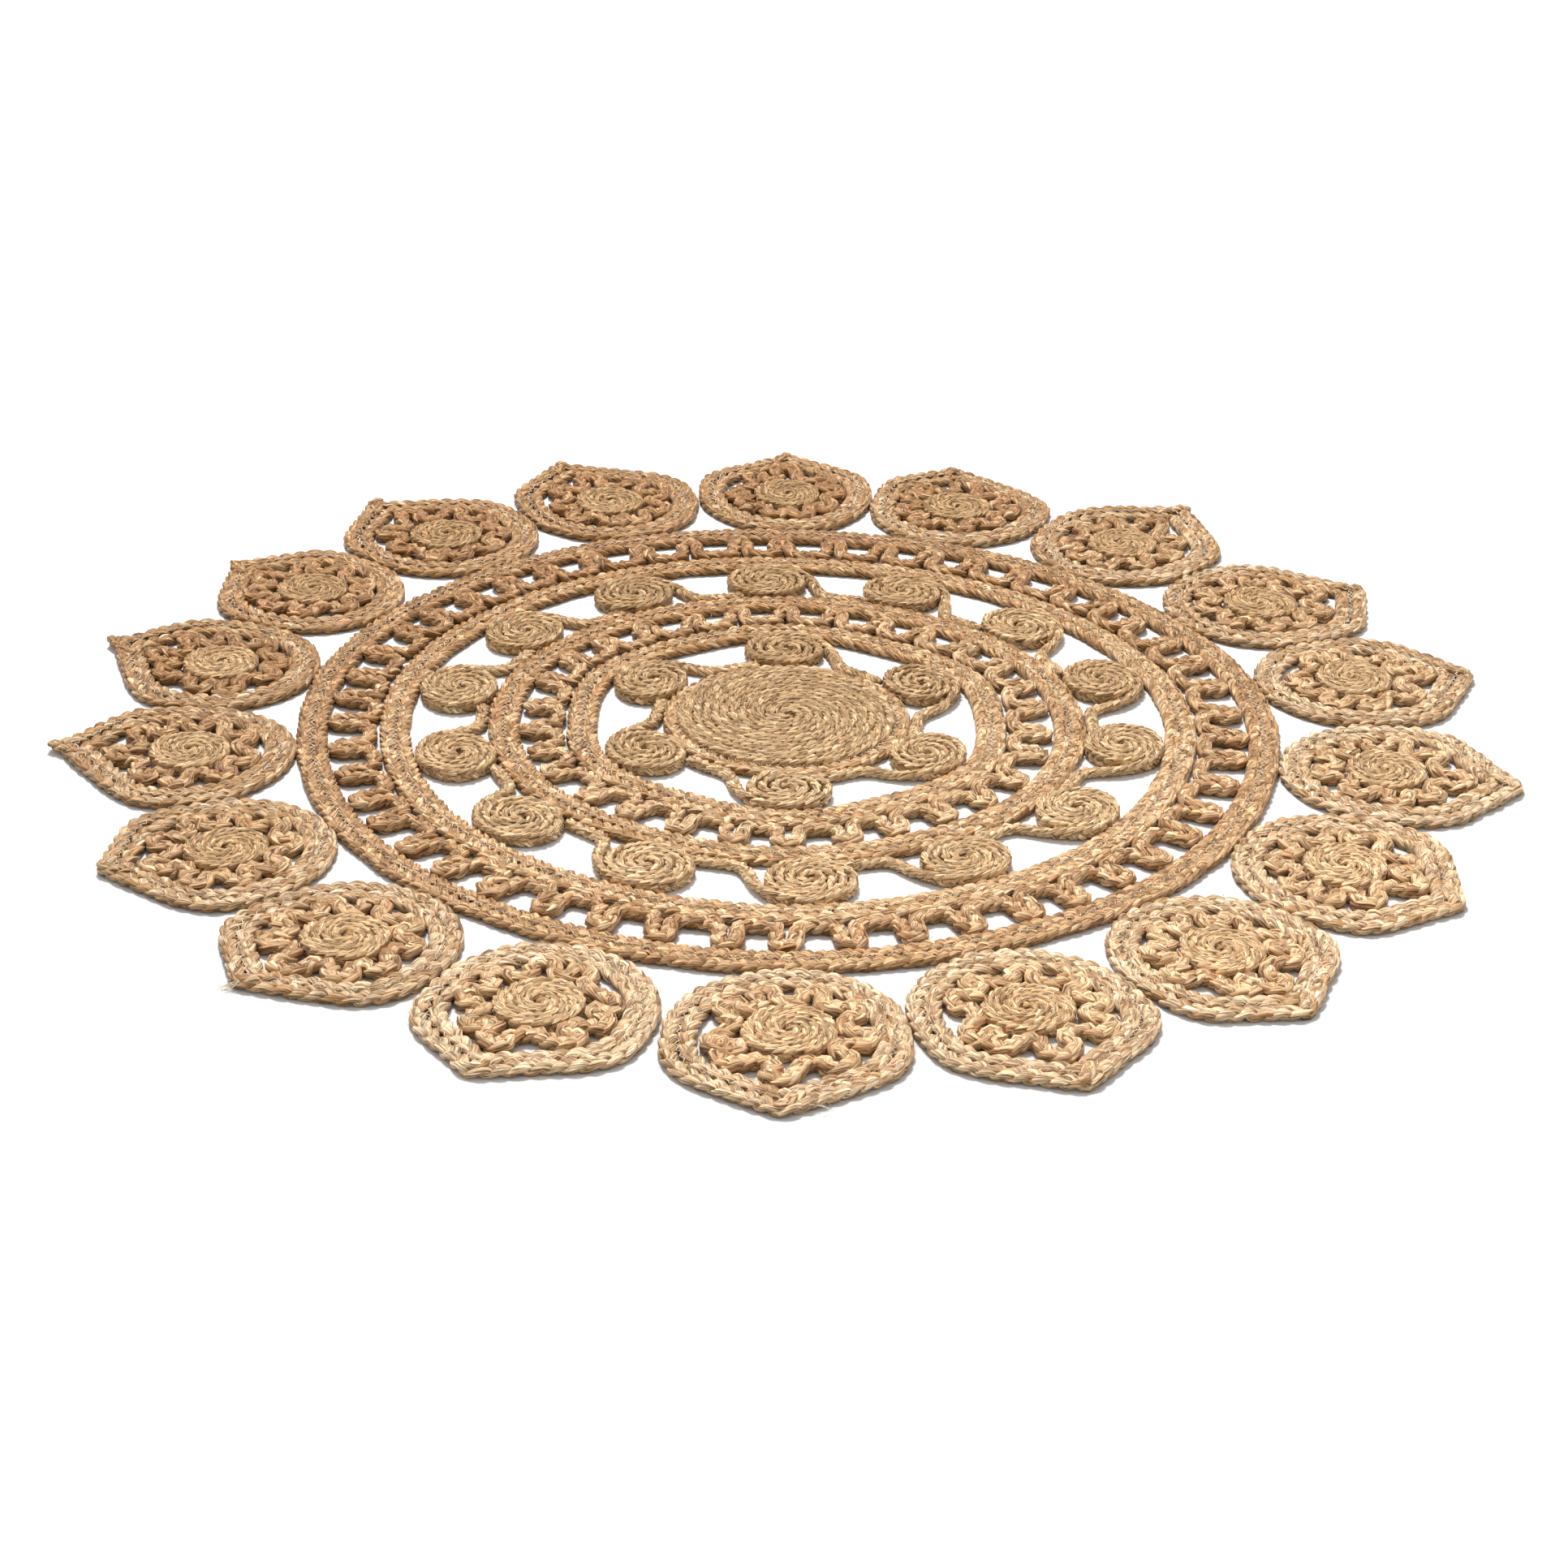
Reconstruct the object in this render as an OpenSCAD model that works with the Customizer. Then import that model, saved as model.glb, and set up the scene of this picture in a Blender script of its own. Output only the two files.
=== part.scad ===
// Round openwork area rug: plaited jute braids wound and looped into discs, rings and petals,
// then sewn edge to edge. Millimetres, +Z up, the floor at z = 0, the rug's centre at the origin.

/* [Braid] */
// Width of a braid row that lies flat
row_w = 15.3; // [13:0.1:18]
// Height of a braid row that lies flat
row_h = 10.5; // [8:0.5:13]
// Width of a coil's row, where the braid stands on edge
coil_w = 9.4; // [8:0.1:11]
// Height of a coil, where the braid stands on edge
coil_h = 14; // [10:0.5:18]
// Width of the thick braid that makes the loops
loop_w = 16; // [13:0.5:17]
// Height of the thick braid that makes the loops
loop_h = 13; // [10:0.5:15]
// Space between neighbouring braids
seam = 0.4; // [0.2:0.1:1]

/* [Centre] */
// Turns of braid in the centre coil
centre_turns = 11; // [8:1:14]

/* [Rings] */
// Space between the centre and the inner ring, which the inner scrolls fill
inner_scroll_gap = 73; // [66:1:80]
// Radial width of the inner ring's loops
inner_loop_depth = 47; // [42:1:60]
// Number of loops in the inner ring
inner_loop_count = 30; // [24:1:31]
// Space between the two rings, which the outer scrolls fill
outer_scroll_gap = 82.5; // [76:0.5:90]
// Radial width of the outer ring's loops
outer_loop_depth = 54; // [42:1:60]
// Number of loops in the outer ring
outer_loop_count = 50; // [40:1:53]

/* [Scrolls] */
// Number of scrolls round the centre
inner_scroll_count = 6; // [5:1:7]
// Number of scrolls between the rings
outer_scroll_count = 14; // [12:1:16]
// Turn of the outer scrolls against the petals, in degrees
outer_scroll_phase = 3.2; // [-10:0.1:10]
// Width of a scroll's tail
tail_w = 11; // [9:0.5:12]
// How much wider than round an inner scroll's disc is, to each side along the ring
inner_oval = 9; // [0:1:10]
// The same for an outer scroll's disc
outer_oval = 6; // [0:1:7]

/* [Petals] */
// Number of petals round the edge
petal_count = 18; // [17:1:18]
// How far a petal's tip stands out past its round part
petal_point = 24; // [14:1:32]
// Number of loops in a petal
petal_loop_count = 9; // [7:1:9]
// Radius of a petal's coil
petal_coil_r = 40; // [36:1:42]
// Width of a petal coil's row
petal_coil_w = 8.6; // [8:0.1:9.4]
// Height of a petal's coil
petal_coil_h = 13; // [10:0.5:16]

/* [Sewing] */
// Thickness of the sewing thread
thread_d = 1.2; // [0.8:0.1:1.6]

/* [Hidden] */
// Angular steps of the coils, and of the loops of a ring and of a petal, in degrees
centre_step = 12;
coil_step = 20;
ring_turn_step = 30;
petal_turn_step = 45;
ring_fn = 180;
thread_fn = 24;
// Share of a row's height at which its rounded flanks begin
flank_at = 0.4;
// How far the flat underside stops short of a row's sides
foot_in = 2.4;
// Angle round a scroll's disc, from the ring's tangent, at which its tail leaves
tail_from = 35;
// Turns by which a scroll's disc is wider than its count of turns: outward, and inward, side
disc_out = 1 - (90 - tail_from) / 360;
disc_in = disc_out - 0.5;
// A tail reaches the ring, and ends, at these shares of the way to the next scroll
tail_lands = 0.54;
tail_ends = 0.76;
// How far the tail's curve holds its heading from the disc and to the ring, as shares of its length
leave_reach = 0.55;
land_reach = 0.42;
// Points on the tail's curve, and on its run along the ring
tail_steps = 8;
land_steps = 4;
// Share of its width that a tail's blunt end keeps
blunt = 0.6;
// Narrowest that a coil's tapered end gets
end_w = 2;
// Height of the thread in the groove between two rows, and beside the centre coil
thread_z = row_h * 0.7;
centre_thread_z = row_h * 0.77;
// Corner radius of the wide side of a loop's centre line
arch_r = 11;
// Narrow slit between the two legs of a loop, and the least flat between two arches
slit = 1.2;
arch_flat = 0.2;
// How far a cutting block stands clear above and below a row
clear = 1;
// Angular step of a row's rounded top
profile_step = 30;

centre_r = coil_w * (centre_turns + 1);
wrap_r = centre_r + seam;
inner_r = wrap_r + row_w + inner_scroll_gap;
inner_loop_r = inner_r + 2 * row_w + seam;
inner_out_r = inner_loop_r + inner_loop_depth + seam;
between_r = inner_out_r + 2 * row_w;
outer_r = between_r + outer_scroll_gap;
outer_loop_r = outer_r + 2 * row_w + seam;
outer_out_r = outer_loop_r + outer_loop_depth + seam;
edge_r = outer_out_r + 2 * row_w + seam;

// Petals touch the ring and each other: their radius follows from their number
half_share = sin(180 / petal_count);
petal_r = (edge_r * half_share - seam / 2) / (1 - half_share);
petal_at = edge_r + petal_r;
petal_tip = petal_r + petal_point;
petal_core_r = petal_r - 2 * row_w - seam;

function two(i) = str(i < 10 ? "0" : "", i);
function numbered(stem, count) = [for (i = [1:count]) str(stem, two(i))];

// ---- points ----

function at(r, angle) = [r * cos(angle), r * sin(angle)];
function oval_at(r, angle, wider) = at(r, angle) + [wider * cos(angle), 0];
function indices(first, count) = [for (i = [0:count - 1]) first + i];

// Outer edge of a coil that winds clockwise from a solid eye, w wide at each turn, ending at angle last.
// Where wider isn't 0, the coil is oval
function coil_out(w, turns, last, limit, step, wider) =
    [for (a = [0:step:360 * turns])
        oval_at(min(w * (a / 360 + 1), limit), last + 360 * turns - a, wider)];
// Inner edge, from the end back to the eye, with its points in line with the outer edge's
function coil_in(w, turns, last, step, wider) =
    [for (k = [0:ceil(360 * turns / step) - 360 / step])
        let (a = k == 0 ? 360 * turns : (ceil(360 * turns / step) - k) * step)
        oval_at(w * a / 360 + seam, last + 360 * turns - a, wider)];

// A disc-shaped coil of radius r. Its last turn tapers, so the disc is round
function disc_turns(r, w, step) = floor((r - end_w - seam) / w * 360 / step) * step / 360;
function disc_points(r, w, step) =
    let (turns = disc_turns(r, w, step))
    concat(coil_out(w, turns, 0, r, step, 0), coil_in(w, turns, 0, step, 0));

// Cubic curve from a to d, with handles b and c
function curve(a, b, c, d, t) =
    pow(1 - t, 3) * a + 3 * pow(1 - t, 2) * t * b + 3 * (1 - t) * t * t * c + pow(t, 3) * d;
function beside(line, i, offset) =
    let (
        last = len(line) - 1,
        along = line[min(i + 1, last)] - line[max(i - 1, 0)],
        unit = along / norm(along)
    )
    line[i] + offset * [-unit[1], unit[0]];

// A scroll: a coil whose last turn leaves its disc and runs clockwise down to the ring at radius base.
// The disc's centre is at (0, scroll_centre). The tail's centre line ends beside the next disc
function scroll_turns(gap) = ((gap - 2 * seam) / coil_w - disc_out - disc_in) / 2;
function scroll_centre(base, gap) = base + seam + coil_w * (scroll_turns(gap) + disc_in);
function tail_line(base, gap, count, wider) =
    let (
        r = coil_w * (scroll_turns(gap) + 0.5),
        start = [0, scroll_centre(base, gap)] + oval_at(r, tail_from, wider),
        growth = coil_w / (2 * PI),
        heading = [
            (r + wider) * sin(tail_from) + growth * cos(tail_from),
            growth * sin(tail_from) - r * cos(tail_from)
        ],
        low = base + seam + tail_w / 2,
        land = 90 - tail_lands * 360 / count,
        stop = 90 - tail_ends * 360 / count,
        span = norm(at(low, land) - start),
        leave = start + span * leave_reach * heading / norm(heading),
        arrive = at(low, land) + at(span * land_reach, land + 90)
    )
    concat(
        [for (t = [0:1 / tail_steps:1]) curve(start, leave, arrive, at(low, land), t)],
        [for (k = [1:land_steps]) at(low, land + (stop - land) * k / land_steps)]
    );
function tail_half(i, last) =
    let (share = min(i / tail_steps, 1))
    (coil_w - 2 * seam + (tail_w - coil_w + seam) * share) / 2 * (i == last ? blunt : 1);
function scroll_points(base, gap, count, wider) =
    let (
        turns = scroll_turns(gap),
        middle = [0, scroll_centre(base, gap)],
        line = tail_line(base, gap, count, wider),
        last = len(line) - 1
    )
    concat(
        [for (p = coil_out(coil_w, turns, tail_from, between_r, coil_step, wider)) p + middle],
        [for (i = [1:last]) beside(line, i, tail_half(i, last))],
        [for (i = [last:-1:1]) beside(line, i, -tail_half(i, last))],
        [for (p = coil_in(coil_w, turns, tail_from, coil_step, wider)) p + middle]
    );

// One loop's centre line as [distance along the ring, distance out, direction of its left side]:
// out along a leg, a tight turn at the outer side, in along the next leg, a wide arch at the inner side
function loop_line(period, depth, step) =
    let (
        reach = (depth - loop_w) / 2,
        tight = (loop_w + slit) / 2,
        corner = min(arch_r, (period - arch_flat) / 2 - tight),
        low = corner - reach
    )
    concat(
        [for (a = [180:-step:0]) [tight * cos(a), reach - tight + tight * sin(a), a - 90]],
        [for (a = [180:step:270]) [tight + corner + corner * cos(a), low + corner * sin(a), a + 90]],
        [for (a = [270:step:360])
            [period - tight - corner + corner * cos(a), low + corner * sin(a), a + 90]]
    );

// How far a row round a petal stands out past its round part of radius r, away degrees from its point
function point_out(r, away) =
    let (from = acos(petal_r / petal_tip))
    r / cos(max(from - abs(away), 0)) - r;

// One edge of the loops round a ring, as a closed path: the left edge for side 1, the right for -1.
// Where pointed is 1, the loops reach out into a petal's point
function loops_edge(inner, depth, count, step, side, pointed) =
    let (
        middle = inner + depth / 2,
        line = loop_line(2 * PI * middle / count, depth, step),
        turn = 360 / count
    )
    [for (k = [0:count - 1], p = line)
        let (
            away = k * turn + p[0] / middle * 180 / PI,
            near = away > 180 ? away - 360 : away,
            out = pointed * point_out(inner + depth, near) * (p[1] / depth + 0.5)
        )
        at(middle + p[1] + out, 90 - away) + at(side * loop_w / 2, 90 - away + p[2])];

// Cross-section of a row that lies flat: flat underside, rounded flanks and top
function row_profile(w, h) =
    concat(
        [[foot_in - w / 2, 0], [w / 2 - foot_in, 0]],
        [for (t = [0:profile_step:180]) [w / 2 * cos(t), h * flank_at + h * (1 - flank_at) * sin(t)]]
    );

// ---- shapes ----

// The area between two closed paths
module band_2d(outer, inner) {
    polygon(
        points = concat(outer, inner),
        paths = [indices(0, len(outer)), indices(len(outer), len(inner))]
    );
}

// A flat-lying row, number k out from radius start
module ring_row(start, k) {
    rotate_extrude($fn = ring_fn)
        translate([start + (k - 0.5) * row_w, 0])
            polygon(row_profile(row_w - seam, row_h));
}

// A ring of sewing thread in the groove at radius r
module ring_thread(r, z) {
    rotate_extrude($fn = ring_fn)
        translate([r, z])
            circle(d = thread_d, $fn = thread_fn);
}

module loops(inner, depth, count, step, pointed) {
    linear_extrude(height = loop_h)
        band_2d(
            loops_edge(inner, depth, count, step, 1, pointed),
            loops_edge(inner, depth, count, step, -1, pointed)
        );
}

// One straight side of a pointed row, cut off at the point's mitre
module petal_side(r, tip, from) {
    intersection() {
        translate(at(r, 90 - from))
            rotate([0, 0, 270 - from])
                rotate([90, 0, 0])
                    linear_extrude(height = tip)
                        polygon(row_profile(row_w - seam, row_h));
        translate([0, 0, -clear])
            cube([2 * tip, 2 * tip, row_h + 2 * clear]);
    }
}

// Half of a flat-lying row round a petal, its centre line d in from the petal's edge
module petal_half_row(d) {
    r = petal_r - d;
    tip = petal_tip * r / petal_r;
    from = acos(r / tip);
    rotate([0, 0, -90])
        rotate_extrude(angle = 180 - from, $fn = ring_fn)
            translate([r, 0])
                polygon(row_profile(row_w - seam, row_h));
    petal_side(r, tip, from);
}

// A row round a petal: round, with a point at +Y
module petal_row(d) {
    petal_half_row(d);
    mirror([1, 0, 0]) petal_half_row(d);
}

module petal_place(i) {
    rotate([0, 0, -(i - 1) * 360 / petal_count])
        translate([0, petal_at, 0])
            children();
}

// ---- pieces ----

module centre_coil() {
    color("tan") linear_extrude(height = coil_h) polygon(disc_points(centre_r, coil_w, centre_step));
}

module centre_wrap() {
    color("burlywood") ring_row(wrap_r, 1);
}

module scroll(base, gap, count, i, phase, wider) {
    rotate([0, 0, phase - (i - 1) * 360 / count])
        linear_extrude(height = coil_h)
            polygon(scroll_points(base, gap, count, wider));
}

module inner_scroll(i) {
    color("tan") scroll(wrap_r + row_w, inner_scroll_gap, inner_scroll_count, i, 0, inner_oval);
}

module outer_scroll(i) {
    color("tan")
        scroll(between_r, outer_scroll_gap, outer_scroll_count, i, outer_scroll_phase, outer_oval);
}

module inner_ring_row(k) {
    color("burlywood") ring_row(k < 3 ? inner_r : inner_out_r, k < 3 ? k : k - 2);
}

module outer_ring_row(k) {
    color(k < 3 ? "burlywood" : "peru") ring_row(k < 3 ? outer_r : outer_out_r, k < 3 ? k : k - 2);
}

module inner_ring_loops() {
    color("rosybrown") loops(inner_loop_r, inner_loop_depth, inner_loop_count, ring_turn_step, 0);
}

module outer_ring_loops() {
    color("rosybrown") loops(outer_loop_r, outer_loop_depth, outer_loop_count, ring_turn_step, 0);
}

// Two rows of braid round a petal, one inside the other
module petal_border(i) {
    color("wheat") petal_place(i)
        for (k = [0:1]) petal_row(k * row_w + (row_w - seam) / 2);
}

module petal_loops() {
    depth = petal_core_r - petal_coil_r - seam;
    color("rosybrown") for (i = [1:petal_count]) petal_place(i)
        loops(petal_coil_r + seam, depth, petal_loop_count, petal_turn_step, 1);
}

module petal_coils() {
    color("tan") for (i = [1:petal_count]) petal_place(i)
        linear_extrude(height = petal_coil_h) polygon(disc_points(petal_coil_r, petal_coil_w, coil_step));
}

module thread_centre() {
    color("ivory") ring_thread(wrap_r + (seam + thread_d) / 2, centre_thread_z);
}

module thread_inner_ring() {
    color("ivory") for (r = [inner_r, inner_out_r]) ring_thread(r + row_w, thread_z);
}

module thread_outer_ring() {
    color("ivory") for (r = [outer_r, outer_out_r]) ring_thread(r + row_w, thread_z);
}

// One thread in the groove between each petal's two rows
module thread_petals() {
    r = petal_r - row_w + seam / 2;
    tip = petal_tip * r / petal_r;
    from = acos(r / tip);
    color("ivory") for (i = [1:petal_count]) petal_place(i)
        rotate([0, 0, 90 + from])
            rotate_extrude(angle = 360 - 2 * from, $fn = ring_fn)
                translate([r, thread_z])
                    circle(d = thread_d, $fn = thread_fn);
}

centre_coil();
centre_wrap();
for (i = [1:inner_scroll_count])
    inner_scroll(i);
for (k = [1:4])
    inner_ring_row(k);
inner_ring_loops();
for (i = [1:outer_scroll_count])
    outer_scroll(i);
for (k = [1:4])
    outer_ring_row(k);
outer_ring_loops();
for (i = [1:petal_count])
    petal_border(i);
petal_loops();
petal_coils();
thread_centre();
thread_inner_ring();
thread_outer_ring();
thread_petals();
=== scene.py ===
import math

import bpy
import numpy as np
from mathutils import Matrix, Vector


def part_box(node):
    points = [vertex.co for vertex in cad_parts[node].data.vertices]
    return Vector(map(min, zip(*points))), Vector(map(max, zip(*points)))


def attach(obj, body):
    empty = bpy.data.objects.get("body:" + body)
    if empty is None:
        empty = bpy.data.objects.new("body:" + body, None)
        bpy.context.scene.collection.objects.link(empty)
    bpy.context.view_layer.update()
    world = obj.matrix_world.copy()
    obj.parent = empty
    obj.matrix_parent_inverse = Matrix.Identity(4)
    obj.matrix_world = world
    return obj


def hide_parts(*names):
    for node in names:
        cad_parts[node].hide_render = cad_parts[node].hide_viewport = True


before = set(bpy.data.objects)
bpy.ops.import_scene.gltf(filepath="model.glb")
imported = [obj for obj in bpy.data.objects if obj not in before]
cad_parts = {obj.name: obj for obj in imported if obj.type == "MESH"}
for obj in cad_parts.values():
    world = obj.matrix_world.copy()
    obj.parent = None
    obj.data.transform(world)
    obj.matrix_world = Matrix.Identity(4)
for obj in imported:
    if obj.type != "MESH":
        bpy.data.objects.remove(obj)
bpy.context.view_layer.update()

# Round openwork rug of plaited jute. Metres, +Z up, the rug's centre at the origin, petal 1 at +Y,
# and petals and scrolls numbered clockwise. Every braid is three strands plaited along a route.

# ---- sizes ----

# Flat rows: the space that each gets across, and its height
ROW_W = 0.0153
ROW_H = 0.0106

# Coils are braids on edge. The scrolls' and petals' turns are finer than the centre's, and the
# scrolls' discs end where turns of COIL_W would
COIL_W = 0.0094
COIL_H = 0.0140
SCROLL_W = 0.0081
PETAL_COIL_W = 0.0079
PETAL_COIL_H = 0.0132
TAIL_W = 0.0140

# The thick braids that go out and back
LOOP_W = 0.0172
LOOP_H = 0.0136
PETAL_LOOP_W = 0.0182

# The gap left for a seam, and diameters of the sewing thread, stray fibres and tufts' fibres
SEAM = 0.0004
THREAD_D = 0.0009
FIBRE_D = 0.0005
LOOSE_D = 0.0008

# A braid is plaited a little wider than the space that its row gets, and pressed into it
FULL_WIDE = 1.22
FULL_COIL = 1.36

# A coil's braid is taller still, and trodden flat on top: it stays within COIL_FLAT of its height
# above and below its middle, where other braids have BRAID_FLAT
TALL_COIL = 1.10
COIL_FLAT = 0.43
BRAID_FLAT = 0.485

# How blunt a coil's ends are, and how deep the shade painted into its grooves is, where 1 is as deep as in
# other braids
COIL_END = 0.8
COIL_CREVICE_SHADE = 0.40
SCROLL_CREVICE_SHADE = 0.50

# Each strand's half width and half height, and how far it swings, as shares of the braid's size
STRAND_WIDE = 0.290
STRAND_TALL = 0.300
STRAND_SWING = 0.215

# The share of its half width that a braid is held to by its neighbours
HELD_ASIDE = 0.93

# Painted shade: the brightness painted low in a braid, and on flanks that face down, where its top has 1
LOW_PAINTED_LIGHT = 0.74
FLANK_PAINTED_LIGHT = 0.54

# Bundles of fibre in a strand's relief: how many lie round it, and how far they stand out as a
# share of its radius. ROUGH is a single point's share
LOBES = [(2, 0.035), (3, 0.055), (4, 0.055), (5, 0.060)]
ROUGH = 0.018

# How uneven braids are where uneven is 1: their wander to the side in metres, and the shares by
# which their size, their strands' pace and their strands' thickness change along them
WANDER = 0.00045
SIZE_CHANGE = 0.03
PACE_CHANGE = 0.14
THICK_CHANGE = 0.06

# How much strands differ from each other in thickness, brightness and warmth, and how much the
# brightness and warmth change along each
THICK_SPREAD = 0.035
TONE_SPREAD = 0.045
TONE_CHANGE = 0.065
WARM_SPREAD = 0.20
WARM_CHANGE = 0.24

# Distance along a braid from one chevron to the next
ROW_PITCH = 0.0125
PETAL_PITCH = 0.0160
COIL_PITCH = 0.0088
LOOP_PITCH = 0.0120

# Distance between the rings of points along a strand, points round it, and the length in which its
# fibres wind round it once
STEP = 0.0034
SIDES = 12
TWIST = 0.085

INNER_SCROLLS = 6
OUTER_SCROLLS = 14
PETALS = 18
INNER_LOOPS = 30
OUTER_LOOPS = 50
PETAL_LOOPS = 9

# How much further out sideways a scroll's oval disc reaches, and the outer scrolls' turn in degrees
INNER_OVAL = 0.0090
OUTER_OVAL = 0.0060
OUTER_PHASE = 3.2

# A scroll's tail leaves its disc at this angle in degrees, bends by these shares of the straight
# distance, and lands and ends at these shares of the way to the next scroll
TAIL_FROM = 35
LEAVE_REACH = 0.55
LAND_REACH = 0.42
TAIL_LANDS = 0.54
TAIL_ENDS = 0.785

# How far each petal's tip leans clockwise, and stands out further than the CAD tip, in millimetres
TIP_LEAN = [0, -48, -12, 24, 2, 8, 12, 18, -2, 10, 14, 20, 30, 42, 42, 20, -14, -30]
TIP_REACH = [8, -4, 24, 6, 9, 12, -5, -6, 2, -3, -6, -12, -10, 6, 6, -4, 14, 14]
# Length of the folded braid end that stands out at each petal's tip, in millimetres
TIP_STUB = [12, 8, 14, 10, 6, 6, 5, 6, 8, 6, 8, 10, 14, 26, 24, 16, 18, 12]

# Unevenness of the handmade rug beyond its centre, as waves round it: the size (metres out, or
# radians round), how many waves there are, and where they start
OUTWARD_WAVES = [(0.0022, 3, 1.0), (0.0014, 7, 0.4)]
ROUND_WAVES = [(0.004, 5, 2.0), (0.003, 11, 0.0)]
# The inner ring bulges out in six places, and the front left has slid round a little
SIX_BULGE = 0.0042
SLID_ROUND = 0.016
SLID_AT = -2.62


def outer_radius(node):
    """The greatest X of a CAD node that goes round the rug's centre."""
    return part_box(node)[1][0]


# Radii where the rows and the gaps between them begin, from the CAD part
CENTRE_R = outer_radius("centre_wrap") - ROW_W
WRAP_R = outer_radius("centre_wrap")
INNER_R = outer_radius("inner_ring_row_1") - ROW_W
INNER_LOOP_R = outer_radius("inner_ring_row_2") + SEAM
INNER_OUT_R = outer_radius("inner_ring_row_3") - ROW_W
BETWEEN_R = outer_radius("inner_ring_row_4")
OUTER_R = outer_radius("outer_ring_row_1") - ROW_W
OUTER_LOOP_R = outer_radius("outer_ring_row_2") + SEAM
OUTER_OUT_R = outer_radius("outer_ring_row_3") - ROW_W
PETAL_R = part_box("petal_border_01")[1][0]
PETAL_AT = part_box("petal_border_01")[0][1] + PETAL_R
PETAL_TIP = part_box("petal_border_01")[1][1] - PETAL_AT
PETAL_COIL_R = 0.040

# A petal's loops press this far into its coil and its border
PRESS = 0.001

# The radius of a loop's tight turn as a share of its braid's width, how far the turn reaches into
# the row outside it, and the radii that its wide arch may have in its corners
LOOP_TURN = 0.43
LOOP_PRESS = 0.0018
ARCH_LEAST = 0.003
ARCH_MOST = 0.0095

# Loose tufts of pale fibre: the petal, how far across and in from its tip, heading in degrees, seed
TUFTS = [(8, -0.060, 0.200, -100, 5100), (10, -0.022, 0.020, 20, 5200), (12, -0.004, 0.008, 190, 5300)]


def seeded(number):
    """Random numbers that are the same in each run."""
    return np.random.default_rng(7000 + number)


# ---- small geometry helpers ----


def ramp(value, low, high):
    """0 below low, 1 above high, and smooth between."""
    t = np.clip((value - low) / (high - low), 0, 1)
    return t * t * (3 - 2 * t)


def polar(radius, degrees):
    """Plan points at a radius, anticlockwise from +X."""
    angle = np.radians(degrees)
    return np.stack([radius * np.cos(angle), radius * np.sin(angle)], axis=-1)


def turned(points, degrees):
    """Plan points turned anticlockwise about the centre."""
    c, s = math.cos(math.radians(degrees)), math.sin(math.radians(degrees))
    return points @ np.array([[c, s], [-s, c]])


def wave(share, rng, counts, size):
    """A random wave that closes on itself. share runs from 0 to 1 along the route."""
    total = np.zeros_like(share)
    for count in counts:
        total = total + rng.normal() * np.sin(2 * np.pi * (count * share + rng.random()))
    return total * size / math.sqrt(len(counts))


def settled(points):
    """The handmade rug's unevenness: moves plan points a little, the same way for every piece."""
    radius = np.hypot(points[:, 0], points[:, 1])
    angle = np.arctan2(points[:, 1], points[:, 0])
    six = ramp(radius, 0.135, 0.200) * (1 - ramp(radius, 0.232, 0.320))
    far = ramp(radius, 0.20, 0.50)
    move = SIX_BULGE * six * np.cos(6 * (angle - math.pi / 2))
    for size, count, start in OUTWARD_WAVES:
        move = move + size * far * np.sin(count * angle + start)
    turn = np.zeros_like(angle)
    for size, count, start in ROUND_WAVES:
        turn = turn + size * far * np.sin(count * angle + start)
    turn = turn - SLID_ROUND * far * np.exp(2.5 * (np.cos(angle - SLID_AT) - 1))
    return polar(radius + move, np.degrees(angle + turn * ramp(radius, 0.32, 0.5)))


def resampled(points, closed, step):
    """The same route with points at equal distances. Returns the points, their distances along the
    route, and its length."""
    if closed:
        points = np.vstack([points, points[:1]])
    lengths = np.hypot(*np.diff(points, axis=0).T)
    along = np.concatenate([[0], np.cumsum(lengths)])
    count = max(8, int(round(along[-1] / step)))
    where = np.linspace(0, along[-1], count + 1)
    if closed:
        where = where[:-1]
    x = np.interp(where, along, points[:, 0])
    y = np.interp(where, along, points[:, 1])
    return np.stack([x, y], axis=1), where, along[-1]


def along_route(points, closed):
    """Unit vectors along the route and to its left."""
    if closed:
        ahead = np.roll(points, -1, axis=0) - np.roll(points, 1, axis=0)
    else:
        ahead = np.gradient(points, axis=0)
    ahead = ahead / np.maximum(np.linalg.norm(ahead, axis=1, keepdims=True), 1e-9)
    return ahead, np.stack([-ahead[:, 1], ahead[:, 0]], axis=1)


def softened(points, closed, passes):
    """Rounds a route's corners by averaging each point with its neighbours."""
    for _ in range(passes):
        before, after = np.roll(points, 1, axis=0), np.roll(points, -1, axis=0)
        mean = (before + 2 * points + after) / 4
        if not closed:
            mean[0], mean[-1] = points[0], points[-1]
        points = mean
    return points


# ---- strands ----


def unit(vectors):
    """The same directions with length 1."""
    return vectors / np.maximum(np.linalg.norm(vectors, axis=-1, keepdims=True), 1e-9)


def pressed(value, limit):
    """Leaves values up to the knee as they are and holds large ones just inside the limit."""
    knee = 0.78 * limit
    over = np.maximum(np.abs(value) - knee, 0) / (limit - knee)
    return np.sign(value) * (np.minimum(np.abs(value), knee) + (limit - knee) * np.tanh(over))


def travelled(centre):
    """Distance along a line to each of its points, and on to the first point again."""
    steps = np.linalg.norm(np.diff(centre, axis=0, append=centre[:1]), axis=1)
    return np.concatenate([[0], np.cumsum(steps)])


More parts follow.
